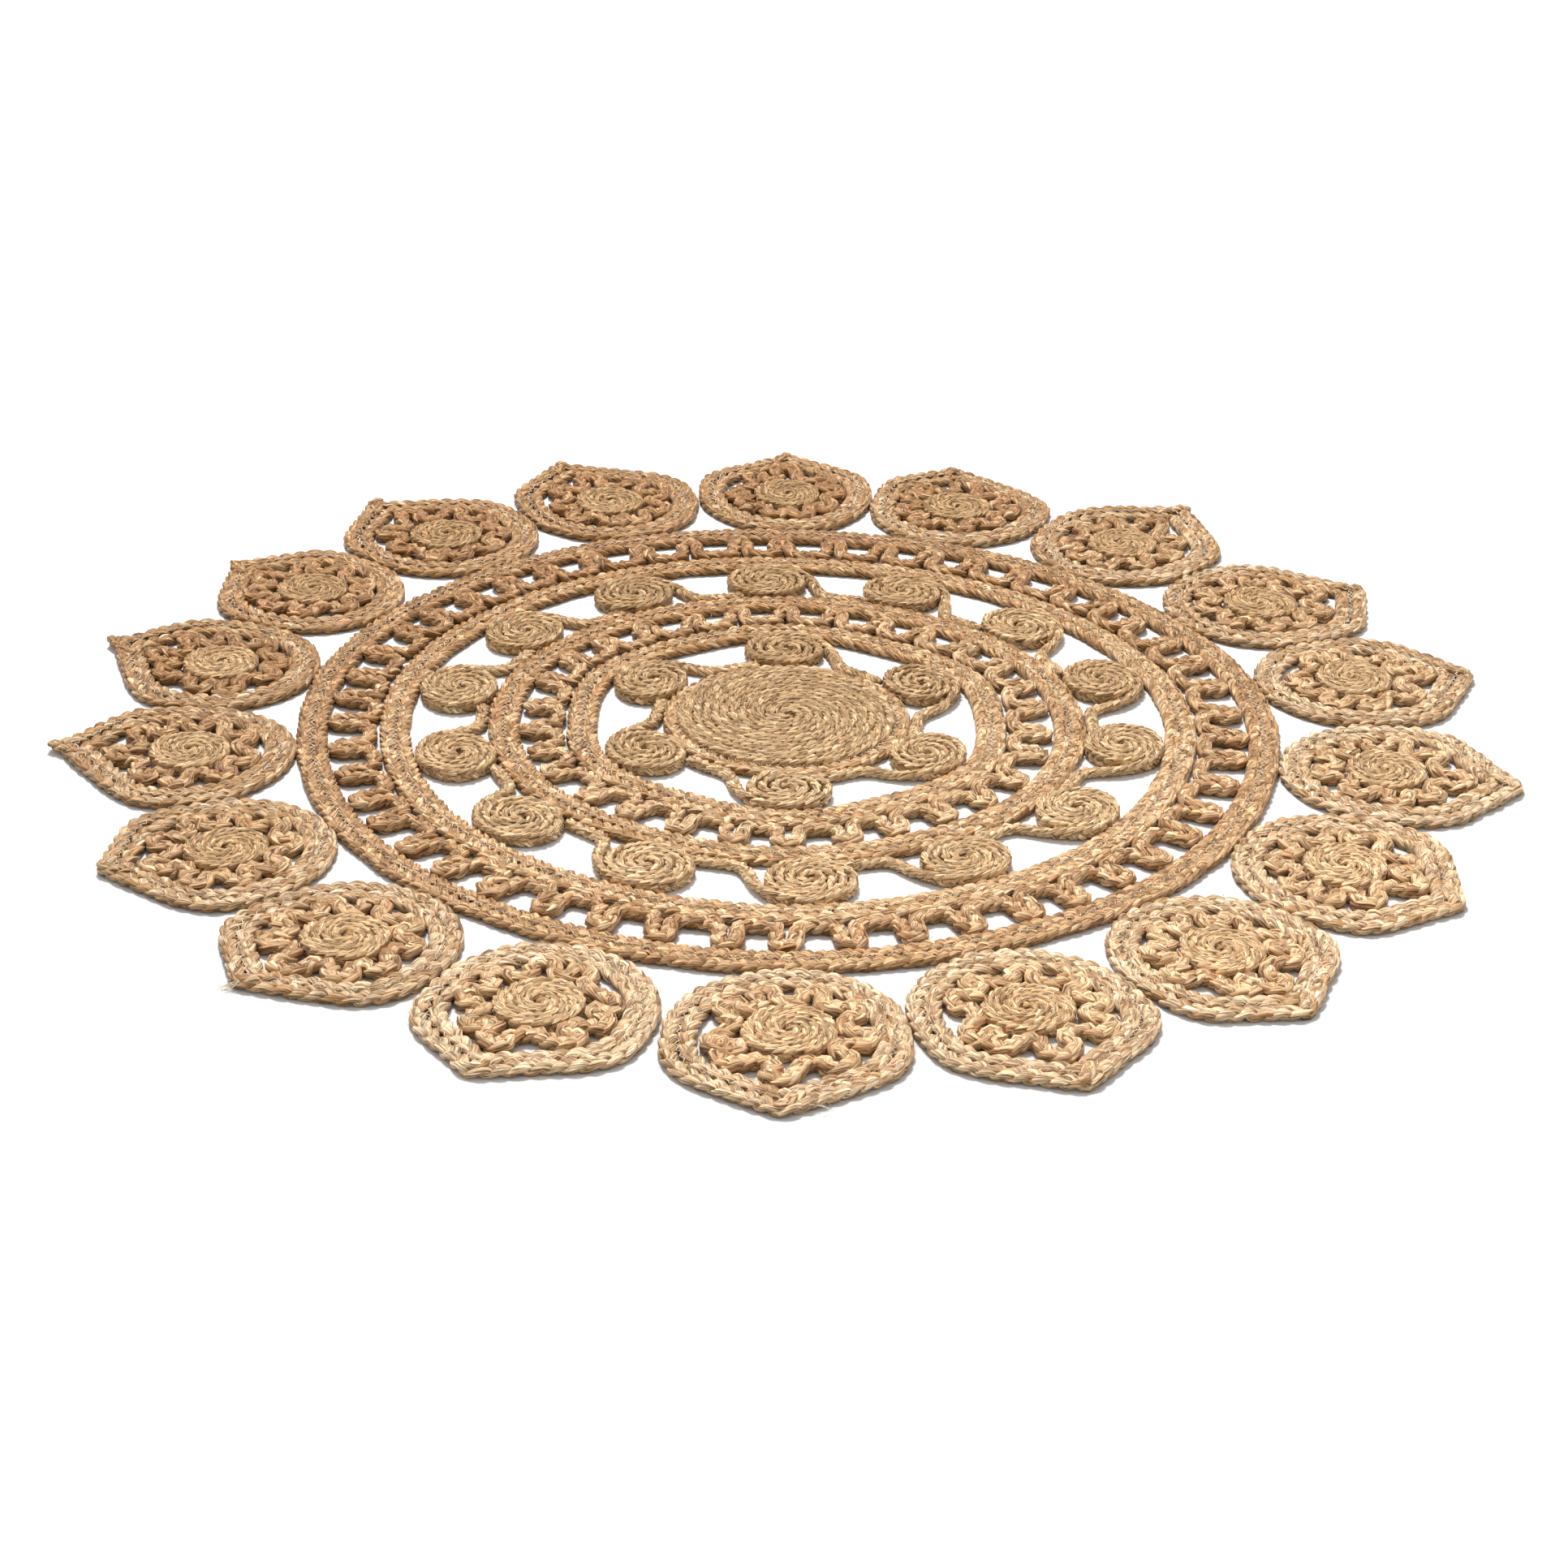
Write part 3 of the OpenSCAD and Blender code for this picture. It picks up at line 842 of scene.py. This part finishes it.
def make_ring(name, first, second, loops_at, loop_count, seed, outer_material, outer_slot):
    """Two rows from the radius first, two from the radius second, and the loops between them."""
    for k in range(1, 5):
        start = first if k < 3 else second
        route = settled(circle_route(start + ((k - 1) % 2 + 0.5) * ROW_W))
        parts = braid(route, True, ROW_W * FULL_WIDE, ROW_H, ROW_PITCH, seed + k)
        parts += stray_fibres(route, True, ROW_W, ROW_H, 100 * seed + 300 * k)
        material, slot = (FLAT, "jute_flat") if k < 3 else (outer_material, outer_slot)
        add_piece(f"{name}_row_{k}_braid", parts, material, slot, f"{name}_row_{k}")
    route = loop_route(loops_at, second - loops_at, loop_count, LOOP_W, seed + 5, swing=1.0)
    route = settled(route)
    parts = braid(route, True, LOOP_W, LOOP_H, LOOP_PITCH, seed + 6, uneven=1.4)
    parts += stray_fibres(route, True, LOOP_W, LOOP_H, 100 * seed + 1700)
    add_piece(f"{name}_loops_braid", parts, LOOP, "jute_loop", f"{name}_loops")


def tip_fold(i):
    """The folded end of a petal's outer braid, which lies over the tip and stands out past it."""
    stub = TIP_STUB[i - 1] / 1000
    lean = 0.35 * math.copysign(1, TIP_LEAN[i - 1])
    near = PETAL_TIP - ROW_W * 1.4
    return bezier(
        np.array([-0.0135, near - 0.012]),
        np.array([-0.0060, near + 0.4 * stub]),
        np.array([-lean * stub, near + ROW_W * 0.55 + stub]),
        np.array([0.0045 - lean * stub * 0.6, near + ROW_W * 0.35 + 0.35 * stub]),
        14,
    )


def make_petal(i):
    """A petal's border with its folded tip, its loops and its coil."""
    seed = 200 + 10 * i
    warm = 0.10 * math.cos(math.radians((i - 1) * 360 / PETALS - 120))
    borders = []
    for k in range(2):
        route = petal_placed(petal_outline((k + 0.5) * ROW_W), i)
        borders += braid(route, True, ROW_W * FULL_WIDE, ROW_H, PETAL_PITCH, seed + k, warm=warm,
                         uneven=1.3)
        borders += stray_fibres(route, True, ROW_W, ROW_H, 9000 + 40 * seed + 500 * k)
    route = petal_placed(tip_fold(i), i)
    borders += braid(route, False, ROW_W * 0.92, ROW_H * 0.95, PETAL_PITCH * 0.8, seed + 2, warm=warm,
                     end_taper=0.75, base=ROW_H * 0.28)
    add_piece(f"petal_border_{i:02d}_braid", borders, PETAL, "jute_petal", f"petal_border_{i:02d}")
    core = PETAL_R - 2 * ROW_W + PRESS
    inner = PETAL_COIL_R - PRESS
    route = loop_route(inner, core - inner, PETAL_LOOPS, PETAL_LOOP_W, seed + 3, swing=1.5,
                       pointed=1, fan=1.22)
    route = petal_placed(route, i)
    parts = braid(route, True, PETAL_LOOP_W, LOOP_H, LOOP_PITCH, seed + 4, warm=warm, uneven=1.8)
    parts += stray_fibres(route, True, PETAL_LOOP_W, LOOP_H, 20000 + 40 * seed)
    add_piece(f"petal_loops_{i:02d}_braid", parts, LOOP, "jute_loop", "petal_loops")
    route = petal_placed(disc_route(PETAL_COIL_R, PETAL_COIL_W, last=seed * 37.0), i)
    parts = braid(route, False, PETAL_COIL_H * TALL_COIL, PETAL_COIL_W * FULL_COIL, COIL_PITCH, seed + 5,
                  roll=90, end_taper=COIL_END, tone=1.04, crevice_shade=COIL_CREVICE_SHADE, flat=COIL_FLAT)
    add_piece(f"petal_coil_{i:02d}_braid", parts, COIL, "jute_coil", "petal_coils")


def zigzag(route, reach, stitch, seed):
    """Stitches that cross a closed seam from side to side, reach to each, over the rows' tops."""
    rng = seeded(seed)
    points, _, _ = resampled(route, True, stitch)
    _, left = along_route(points, True)
    sign = np.where(np.arange(len(points)) % 2 == 0, 1.0, -1.0)
    side = sign * reach * (1 + 0.2 * rng.normal(size=len(points)))
    flat = points + left * side[:, None]
    flat = flat[: len(flat) // 2 * 2]
    full = np.empty((2 * len(flat), 3))
    full[::2, :2] = flat
    full[1::2, :2] = (flat + np.roll(flat, -1, axis=0)) / 2
    full[::2, 2] = ROW_H - THREAD_D
    full[1::2, 2] = ROW_H
    return thread(full, THREAD_D, True, seed, tone=1.05)


def make_threads():
    """Stitches over the seams, and the loose tufts, which are as pale as the thread."""
    past_seam = 0.0010
    seams = {
        "thread_centre": [CENTRE_R + past_seam],
        "thread_inner_ring": [INNER_R + ROW_W, INNER_OUT_R + ROW_W],
        "thread_outer_ring": [OUTER_R + ROW_W, OUTER_OUT_R + ROW_W],
    }
    for number, (name, radii) in enumerate(seams.items()):
        parts = [
            zigzag(settled(circle_route(r)), reach=0.0024, stitch=0.0042, seed=900 + number)
            for r in radii
        ]
        add_piece(name + "_stitches", parts, THREAD, "seam_thread", name)
    parts = [
        zigzag(petal_placed(petal_outline(ROW_W), i), reach=0.0020, stitch=0.0050, seed=930 + i)
        for i in range(1, PETALS + 1)
    ]
    for i, across, inward, heading, number in TUFTS:
        x, y = petal_placed(np.array([[across, PETAL_TIP - inward]]), i)[0]
        parts += tuft(x, y, heading, number)
    add_piece("thread_petals_stitches", parts, THREAD, "seam_thread", "thread_petals")


# ---- stage ----


def make_floor():
    """A plain pale floor that reaches far past the camera's view."""
    size = 30
    corners = [(-size, -size, 0), (size, -size, 0), (size, size, 0), (-size, size, 0)]
    mesh = bpy.data.meshes.new("floor")
    mesh.from_pydata(corners, [], [(0, 1, 2, 3)])
    material = bpy.data.materials.new("floor")
    material.use_nodes = True
    shader = material.node_tree.nodes["Principled BSDF"]
    shader.inputs["Base Color"].default_value = (0.97, 0.97, 0.968, 1)
    shader.inputs["Roughness"].default_value = 0.9
    shader.inputs["Specular IOR Level"].default_value = 0.1
    mesh.materials.append(material)
    floor = bpy.data.objects.new("floor", mesh)
    bpy.context.scene.collection.objects.link(floor)


def make_light(name, place, size, power):
    """A round soft light that faces the rug's centre."""
    data = bpy.data.lights.new(name, "AREA")
    data.shape = "DISK"
    data.size = size
    data.energy = power
    lamp = bpy.data.objects.new(name, data)
    lamp.location = place
    lamp.rotation_euler = (-Vector(place)).to_track_quat("-Z", "Y").to_euler()
    bpy.context.scene.collection.objects.link(lamp)


def make_lights():
    """An even white studio with one soft light high up behind the rug."""
    world = bpy.data.worlds.new("studio")
    bpy.context.scene.world = world
    world.use_nodes = True
    background = world.node_tree.nodes["Background"]
    background.inputs["Color"].default_value = (1, 1, 1, 1)
    background.inputs["Strength"].default_value = 0.50
    make_light("key", place=(-0.6, 2.1, 4.9), size=1.1, power=255)


def make_camera():
    """The camera stands in front of the rug and looks down at it."""
    place = (-0.0349, -2.9513, 1.4557)
    heading, down, tilt = -0.649, 27.327, 1.006
    data = bpy.data.cameras.new("camera")
    data.sensor_width = 36
    data.lens = 72.41
    camera = bpy.data.objects.new("camera", data)
    turn = (
        Matrix.Rotation(math.radians(heading), 4, "Z")
        @ Matrix.Rotation(math.radians(90 - down), 4, "X")
        @ Matrix.Rotation(math.radians(tilt), 4, "Z")
    )
    camera.matrix_world = Matrix.Translation(place) @ turn
    bpy.context.scene.collection.objects.link(camera)
    bpy.context.scene.camera = camera


make_camera()
make_floor()
make_lights()
make_centre()
make_scrolls()
make_ring("inner_ring", INNER_R, INNER_OUT_R, INNER_LOOP_R, INNER_LOOPS, 100, FLAT, "jute_flat")
make_ring("outer_ring", OUTER_R, OUTER_OUT_R, OUTER_LOOP_R, OUTER_LOOPS, 120, BROWN, "jute_brown")
for petal in range(1, PETALS + 1):
    make_petal(petal)
make_threads()

bpy.context.scene.view_settings.view_transform = "Standard"
